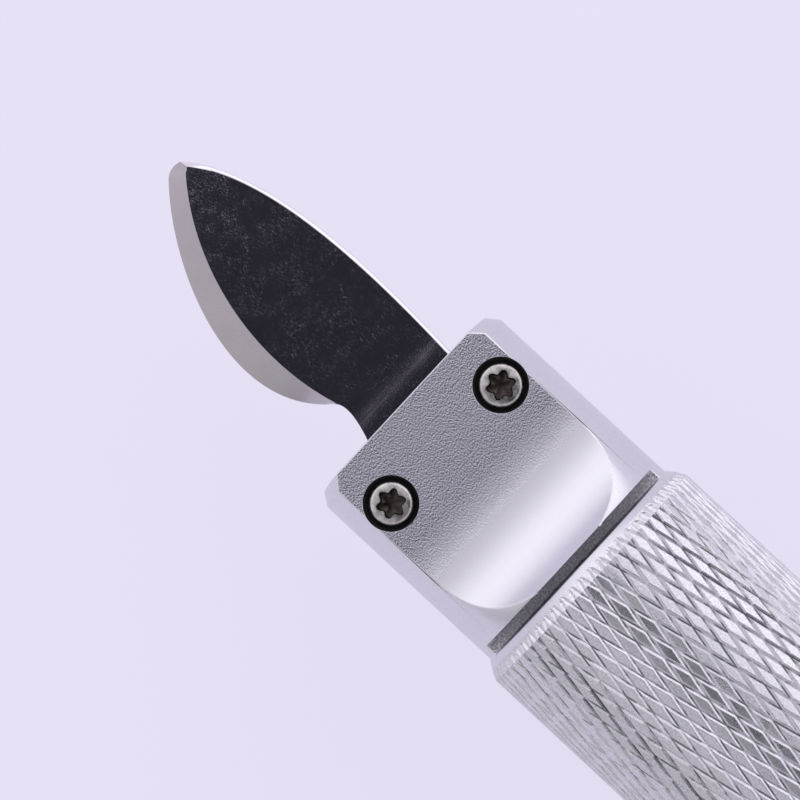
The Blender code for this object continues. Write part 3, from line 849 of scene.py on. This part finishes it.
def blade_solid(spine_round):
    """Model a leaf blade with one ground bevel and a round spine, on its mid-plane."""
    def curve(points, count):
        flat = [Vector((x, y, 0)) for x, y in points]
        return interpolate_bezier(*flat, count + 1)

    corner = TANG_CORNER
    tang = [(-TANG_LEN + corner, TANG_HALF), (-TANG_LEN, TANG_HALF - corner),
            (-TANG_LEN, corner - TANG_HALF), (corner - TANG_LEN, -TANG_HALF),
            (-SHOULDER, -TANG_HALF), (-SHOULDER, SPINE[0][1])]
    tang = [Vector((x, y, 0)) for x, y in [(0.0, TANG_HALF)] + tang]
    def outline(spine, tip, edge):
        return (curve(spine, SPINE_STEPS) + curve(tip, TIP_STEPS)[1:]
                + curve(edge, EDGE_STEPS)[1:] + curve(CHOIL, CHOIL_STEPS)[1:] + tang)

    low = outline(SPINE, TIP, EDGE)
    high = outline(SPINE_TOP, TIP_TOP, GRIND)

    def ring(spine_in, spine_height, edge_in, edge_height):
        points = []
        for number, (outer, inner) in enumerate(zip(low, high)):
            ground = min(1.0, max(0.0, (number - GROUND_FROM) / GROUND_BLEND))
            share = spine_in + (edge_in - spine_in) * ground
            point = outer.lerp(inner, share)
            point.z = spine_height + (edge_height - spine_height) * ground
            points.append(point)
        return points

    steps = ROUND_STEPS
    turns = [math.pi / 2 * number / steps for number in range(steps + 1)]
    rows = [ring(1 - math.cos(turn), spine_round * (1 - math.sin(turn)) - BLADE_HALF,
                 0, EDGE_LAND * number / steps - BLADE_HALF)
            for number, turn in enumerate(reversed(turns))]
    for number, turn in enumerate(turns):
        share = (number + 1) / (steps + 1)
        rows.append(ring(1 - math.cos(turn), BLADE_HALF - spine_round * (1 - math.sin(turn)),
                         share, EDGE_LAND - BLADE_HALF + share * (2 * BLADE_HALF - EDGE_LAND)))

    bm = bmesh.new()
    face = bottom = bm.faces.new([bm.verts.new(point) for point in rows[0]])
    layer = bm.verts.layers.int.new("order")
    for number, vert in enumerate(face.verts):
        vert[layer] = number
    for row in rows[1:]:
        grown = bmesh.ops.extrude_face_region(bm, geom=[face])["geom"]
        if face.is_valid and face is not bottom:
            bmesh.ops.delete(bm, geom=[face], context="FACES_ONLY")
        face = next(item for item in grown if isinstance(item, bmesh.types.BMFace))
        for vert in (item for item in grown if isinstance(item, bmesh.types.BMVert)):
            vert.co = row[vert[layer]]
    bmesh.ops.recalc_face_normals(bm, faces=bm.faces)
    ground = range(SPINE_STEPS, SPINE_STEPS + TIP_STEPS + EDGE_STEPS + 1)
    bm.normal_update()
    for face in bm.faces:
        if face.normal.z > 0.2 and all(vert[layer] in ground for vert in face.verts):
            face.material_index = 1
        elif face.normal.z < 0.99 and all(vert[layer] <= SPINE_STEPS for vert in face.verts):
            face.material_index = 2
    return bm


class KNIFE_OT_blades(bpy.types.Operator):
    """Model the clamped blade and the three spares"""

    bl_idname = "knife.blades"
    bl_label = "Blades"

    def execute(self, context):
        """Grind a blade for the head and one for each slot of the store."""
        rounding = context.scene.knife_sizes.spine_round / MM
        colours = context.scene.knife_colours
        face = finish("polished_blade_steel", lambda n: polished_steel(n, colours.blade))
        bevel = finish("ground_bevel_steel", lambda n: ground_steel(n, colours.bevel))
        # The spine is the blade's steel made near-white: a painted highlight along the rounding
        spine = finish("polished_spine_steel", lambda n: ground_steel(n, colours.spine))
        own_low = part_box("blade")[0]
        for name in ("blade",) + SPARES:
            bm = blade_solid(rounding)
            shift = (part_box(name)[0] - own_low) / MM
            bmesh.ops.translate(bm, vec=shift, verts=bm.verts)
            body = "cap" if name in SPARES else "blade"
            obj = put_in_place(bm, "leaf_" + name, [face, bevel, spine], body,
                               [name])
            shade_crisp(obj, 20)
            even_normals(obj)
        return {"FINISHED"}


class KNIFE_OT_screws(bpy.types.Operator):
    """Model the two six-lobe clamping screws and blacken their washers"""

    bl_idname = "knife.screws"
    bl_label = "Screws and washers"

    def execute(self, context):
        """Make each screw from its socket floor outwards."""
        colours = context.scene.knife_colours
        steel = finish("clamp_screw_steel", lambda n: turned_steel(n, colours.screws))
        # The socket faces take a dark steel as painted shade in the recess
        socket_shade = finish("screw_socket_steel", lambda n: turned_steel(n, SOCKET_SHADE))
        black = finish("blackened_washer",
                       lambda n: dull_black(n, BLACK_OXIDE, 0.6, 0.45, 0.00008))
        for side, y in (("left", SCREW_Y), ("right", -SCREW_Y)):
            bm = self.screw()
            bmesh.ops.translate(bm, vec=(-SCREW_BEHIND, y, 0), verts=bm.verts)
            obj = put_in_place(bm, "lobed_screw_" + side, [steel, socket_shade], "screw_" + side,
                               ["clamp_screw_" + side])
            shade_crisp(obj, 38)
            finish_node("washer_" + side, black)
        return {"FINISHED"}

    @staticmethod
    def screw():
        """Return a screw with a six-lobe socket, a rounded head and a threaded shank."""
        def lobed(extra, height):
            return lambda angle: Vector((
                (SOCKET_R + extra + SOCKET_LOBE * math.cos(6 * angle)) * math.cos(angle),
                (SOCKET_R + extra + SOCKET_LOBE * math.cos(6 * angle)) * math.sin(angle),
                height))

        def ring(radius, height):
            return lambda angle: Vector((radius * math.cos(angle), radius * math.sin(angle),
                                         height))

        top = HEAD_SCREW_TOP
        bm = bmesh.new()
        bmesh.ops.create_circle(bm, cap_ends=True, cap_tris=True, segments=72, radius=0.3)
        bmesh.ops.translate(bm, vec=(0, 0, top - SOCKET_DEPTH - 0.05), verts=bm.verts)
        edges = [edge for edge in bm.edges if edge.is_boundary]
        shapes = [
            lobed(-0.06, top - SOCKET_DEPTH), lobed(0, top - SOCKET_DEPTH + 0.06),
            lobed(0, top - 0.07), lobed(0.02, top - 0.03), lobed(0.05, top),
            *(ring(radius, top - drop) for radius, drop in HEAD_RINGS),
            ring(HEAD_SCREW_R, UNDER_HEAD + 0.04), ring(HEAD_SCREW_R - 0.04, UNDER_HEAD),
            ring(SHANK_ROOT_R + 0.05, UNDER_HEAD), ring(SHANK_ROOT_R, UNDER_HEAD - 0.05),
            ring(SHANK_ROOT_R, SHANK_END + 0.2), ring(SHANK_ROOT_R - 0.2, SHANK_END),
            ring(0.1, SHANK_END),
        ]
        for shape in shapes:
            edges = grow_ring(bm, edges, shape)
        bmesh.ops.contextual_create(bm, geom=edges)
        start = SHANK_END + 0.3
        turns = int((CBORE_FLOOR - start) / THREAD_PITCH)
        helix_ridge(bm, SHANK_ROOT_R - 0.02, SHANK_R, THREAD_PITCH, start, turns, 24, "Z")
        bmesh.ops.recalc_face_normals(bm, faces=bm.faces)
        # Faces deep in the socket get the dark steel: painted shade
        for face in bm.faces:
            middle = face.calc_center_median()
            deep = top - SOCKET_DEPTH - 0.2 < middle.z < top - 0.05
            if deep and middle.xy.length < SOCKET_R + SOCKET_LOBE + 0.02:
                face.material_index = 1
        return bm


class KNIFE_OT_tail_cap(bpy.types.Operator):
    """Model the tail cap with its threaded spigot"""

    bl_idname = "knife.tail_cap"
    bl_label = "Tail cap"

    def execute(self, context):
        """Turn the cap from one bar and wind its thread."""
        colours = context.scene.knife_colours
        shoulder = GRIP_END + CAP_GAP
        end = shoulder + CAP_LEN
        front = GRIP_END - SPIGOT_LEN
        groove = GRIP_END - RING_BEHIND
        profile = [
            (-front - PEG_LEN, 0), (-front - PEG_LEN, PEG_HOLE_R), (-front, PEG_HOLE_R),
            (-front, SPIGOT_ROOT_R - 0.1), (-front - 0.15, SPIGOT_ROOT_R),
            (RING_GROOVE_HALF + 0.15 - groove, SPIGOT_ROOT_R),
            (RING_GROOVE_HALF + 0.15 - groove, SPIGOT_R),
            (RING_GROOVE_HALF - groove, SPIGOT_R), (RING_GROOVE_HALF - groove, RING_GROOVE_R),
            (-RING_GROOVE_HALF - groove, RING_GROOVE_R), (-RING_GROOVE_HALF - groove, SPIGOT_R),
            (-shoulder, SPIGOT_R), (-shoulder, CAP_R - CAP_EDGE),
            (-shoulder - CAP_EDGE_DROP, CAP_R - CAP_EDGE_DROP), (-shoulder - CAP_EDGE, CAP_R),
            (CAP_CHAMFER - end, CAP_R), (CAP_CHAMFER - 0.11 - end, CAP_R - 0.05),
            (0.05 - end, CAP_R - CAP_CHAMFER + 0.11), (-end, CAP_R - CAP_CHAMFER),
            (-end, DISH_R), (DISH_DEPTH - end, DISH_R - 0.1), (DISH_DEPTH - end, 0),
        ]
        bm = turned(profile, 128)
        thread_end = RING_GROOVE_HALF + 0.15 - groove
        turns = int((-front - thread_end) / SPIGOT_PITCH) - 1
        helix_ridge(bm, SPIGOT_ROOT_R - 0.05, SPIGOT_R, SPIGOT_PITCH,
                    thread_end + 0.6 * SPIGOT_PITCH, turns, 48, "X")
        bmesh.ops.recalc_face_normals(bm, faces=bm.faces)
        material = finish("turned_cap_aluminium", lambda n: turned_aluminium(n, colours.aluminium))
        obj = put_in_place(bm, "turned_tail_cap", material, "cap", ["tail_cap"])
        shade_crisp(obj, 20)
        return {"FINISHED"}


class KNIFE_OT_store(bpy.types.Operator):
    """Finish the seal ring, the spare-blade holder and the screw key"""

    bl_idname = "knife.store"
    bl_label = "Seal, holder and key"

    def execute(self, context):
        """Give the carried-over nodes their rubber, plastic and black oxide."""
        finish_node("seal_ring", finish(
            "seal_rubber", lambda n: dull_black(n, SEAL_RUBBER, 0.0, 0.6, 0.00015)))
        finish_node("spare_holder", finish(
            "holder_plastic", lambda n: dull_black(n, HOLDER_PLASTIC, 0.0, 0.5, 0.0001)))
        finish_node("torx_key", finish(
            "key_black_oxide", lambda n: dull_black(n, KEY_OXIDE, 0.8, 0.38, 0.0001)))
        return {"FINISHED"}


class KNIFE_OT_stage(bpy.types.Operator):
    """Set up the pale floor, the soft lights and the camera"""

    bl_idname = "knife.stage"
    bl_label = "Stage, lights and camera"

    def execute(self, context):
        """Make the floor, the light tent and the camera, under a plain view transform."""
        self.floor(context)
        self.lights(context)
        self.camera(context)
        context.scene.view_settings.view_transform = "Standard"
        context.scene.view_settings.look = "None"
        return {"FINISHED"}

    @staticmethod
    def floor(context):
        """A plain pale floor that glows a little, so that it stays even."""
        colour = context.scene.knife_colours.floor
        bm = bmesh.new()
        bmesh.ops.create_grid(bm, x_segments=2, y_segments=2, size=2.0)
        bmesh.ops.translate(bm, vec=(0, 0, (AXIS_Z - GRIP_R) * MM), verts=bm.verts)
        mesh = bpy.data.meshes.new("floor")
        bm.to_mesh(mesh)
        bm.free()
        obj = bpy.data.objects.new("floor", mesh)
        context.scene.collection.objects.link(obj)
        material, tree, shader, coords = new_finish("pale_floor", tint(colour, 0.25), 0.0, 0.9)
        shader.inputs["Specular IOR Level"].default_value = 0.0
        seen = add(tree, "LightPath").outputs["Is Camera Ray"]
        tree.links.new(blend(tree, seen, FLOOR_BOUNCE, colour), shader.inputs["Emission Color"])
        tree.links.new(remap(tree, seen, 0, 1, 0.74, 0.84), shader.inputs["Emission Strength"])
        soft = noise(tree, coords, 30, 2.0)
        tree.links.new(blend(tree, soft, tint(colour, 0.24), tint(colour, 0.26)),
                       shader.inputs["Base Color"])
        mesh.materials.append(material)

    @staticmethod
    def lights(context):
        """Soft panels round the knife in a pale light tent with a dark gap overhead."""
        panels = (
            ("front panel", (0.42, 0.02, 0.26), 0.42, 0.30, 0.08),
            ("edge-side panel", (0.05, 0.42, 0.22), 0.42, 0.26, 0.03),
            ("spine-side panel", (-0.02, -0.42, 0.24), 0.46, 0.34, 0.08),
            ("tail panel", (-0.44, 0.0, 0.24), 0.42, 0.26, 0.03),
        )
        for name, place, width, height, watts in panels:
            data = bpy.data.lights.new(name, "AREA")
            data.shape = "RECTANGLE"
            data.size = width
            data.size_y = height
            data.energy = watts
            light = bpy.data.objects.new(name, data)
            light.location = place
            light.rotation_euler = (-Vector(place)).to_track_quat("-Z", "Y").to_euler()
            context.scene.collection.objects.link(light)
        world = bpy.data.worlds.new("light tent")
        world.use_nodes = True
        tree = world.node_tree
        coords = add(tree, "TexCoord")
        across = add(tree, "Mapping", {"Location": TENT_GAP_PLACE, "Scale": TENT_GAP_SCALE})
        tree.links.new(coords.outputs["Generated"], across.inputs["Vector"])
        from_gap = add(tree, "VectorMath", operation="LENGTH")
        tree.links.new(across.outputs["Vector"], from_gap.inputs[0])
        open_top = add(tree, "MapRange", {"From Min": 1.0, "From Max": TENT_GAP_FADE,
                                          "To Min": 1.0, "To Max": 0.0},
                       interpolation_type="SMOOTHSTEP")
        tree.links.new(from_gap.outputs["Value"], open_top.inputs["Value"])
        lean = add(tree, "VectorMath", {1: TENT_LEAN}, operation="DOT_PRODUCT")
        tree.links.new(coords.outputs["Generated"], lean.inputs[0])
        cloth = blend(tree, open_top.outputs["Result"], TENT_CLOTH, TENT_DARK)
        backdrop = tree.nodes["Background"]
        tree.links.new(cloth, backdrop.inputs["Color"])
        tree.links.new(maths(tree, "ADD", lean.outputs["Value"], 1.0), backdrop.inputs["Strength"])
        context.scene.world = world

    @staticmethod
    def camera(context):
        """A long lens almost straight above the head."""
        ahead = (CAMERA_AIM - CAMERA).normalized()
        along = (Vector((1, 0, 0)) - ahead * ahead.x).normalized()
        across = ahead.cross(along)
        right = across * math.sin(CAMERA_ROLL) - along * math.cos(CAMERA_ROLL)
        up = along * math.sin(CAMERA_ROLL) + across * math.cos(CAMERA_ROLL)
        turn = Matrix((right, up, -ahead)).transposed().to_4x4()
        data = bpy.data.cameras.new("camera")
        data.lens = CAMERA_LENS
        data.sensor_width = CAMERA_SENSOR
        data.clip_start = 0.01
        camera = bpy.data.objects.new("camera", data)
        camera.matrix_world = Matrix.Translation(IN_PLACE @ CAMERA) @ turn
        context.scene.collection.objects.link(camera)
        context.scene.camera = camera


STEPS = (KNIFE_OT_stage, KNIFE_OT_head, KNIFE_OT_sleeve, KNIFE_OT_blades,
         KNIFE_OT_screws, KNIFE_OT_tail_cap, KNIFE_OT_store)


class KNIFE_PT_panel(bpy.types.Panel):
    """Lists the knife's settings and pieces."""

    bl_idname = "KNIFE_PT_panel"
    bl_label = "Craft knife"
    bl_space_type = "VIEW_3D"
    bl_region_type = "UI"
    bl_category = "Craft knife"

    def draw(self, context):
        """Show the sizes, the colours and one button for each piece."""
        for group in (context.scene.knife_sizes, context.scene.knife_colours):
            column = self.layout.column()
            for name in group.__annotations__:
                column.prop(group, name)
        for step in STEPS:
            self.layout.operator(step.bl_idname)


CLASSES = (KnifeSizes, KnifeColours) + STEPS + (KNIFE_PT_panel,)


def register():
    """Register the classes and the scene's settings."""
    for cls in CLASSES:
        bpy.utils.register_class(cls)
    bpy.types.Scene.knife_sizes = PointerProperty(type=KnifeSizes)
    bpy.types.Scene.knife_colours = PointerProperty(type=KnifeColours)


def unregister():
    """Remove the settings and the classes."""
    del bpy.types.Scene.knife_colours
    del bpy.types.Scene.knife_sizes
    for cls in reversed(CLASSES):
        bpy.utils.unregister_class(cls)


def main():
    """Make every piece and the stage."""
    register()
    bpy.ops.knife.stage()
    bpy.ops.knife.head()
    bpy.ops.knife.sleeve()
    bpy.ops.knife.blades()
    bpy.ops.knife.screws()
    bpy.ops.knife.tail_cap()
    bpy.ops.knife.store()


if __name__ == "__main__":
    main()
